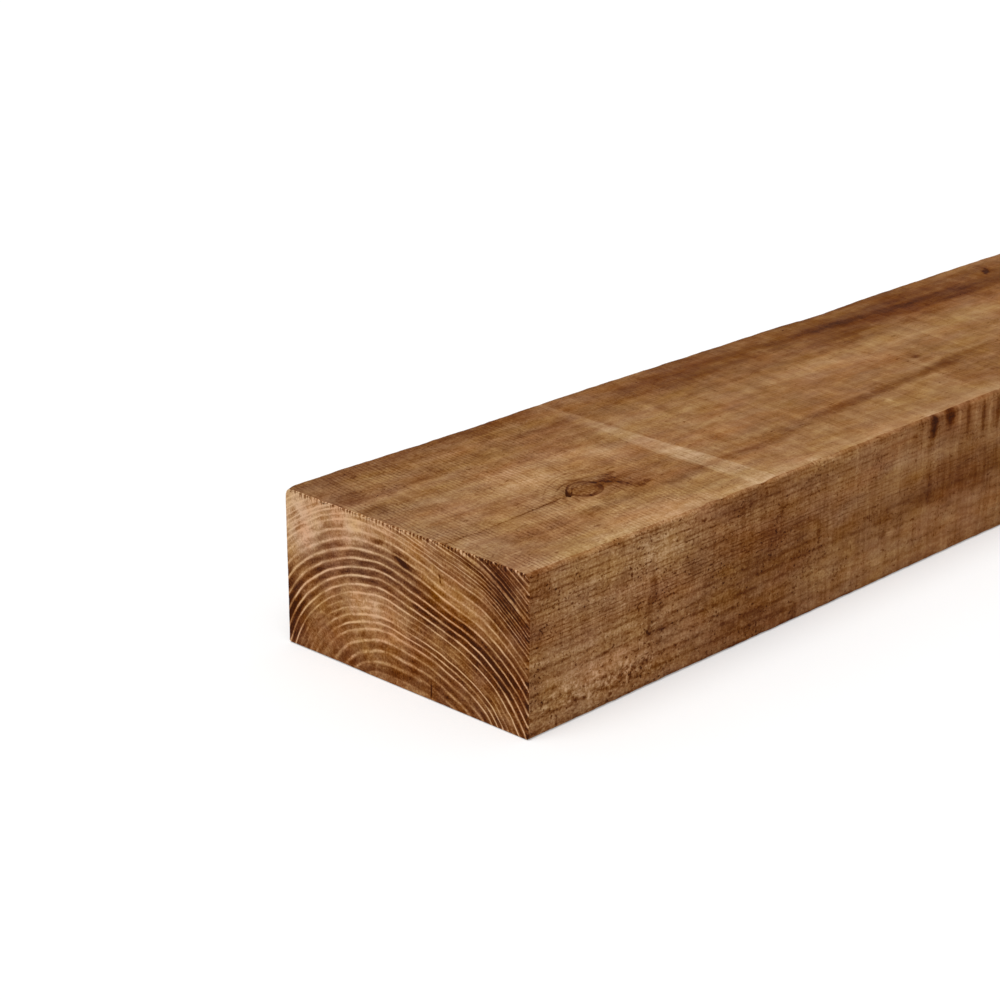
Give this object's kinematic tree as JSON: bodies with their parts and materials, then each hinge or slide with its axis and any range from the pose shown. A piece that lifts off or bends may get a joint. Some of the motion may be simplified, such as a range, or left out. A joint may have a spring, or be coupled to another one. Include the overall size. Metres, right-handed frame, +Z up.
{
  "type": "railway sleeper",
  "caption": "Rectangular sawn softwood railway sleeper with eased long arrises and square crosscut ends, laid flat as a bed, edging or retaining timber.",
  "frame": {"origin": "middle of the bottom face, on the ground the sleeper lies on", "axes": "+X along the grain from the pictured end, +Y from the pictured side to the back, +Z up"},
  "size_m": [2.4, 0.2, 0.1],
  "materials": {
    "sawn_softwood": "rough sawn, brown pressure-treated"
  },
  "bodies": {
    "root": {"sleeper": "sawn_softwood"}
  },
  "joints": []
}
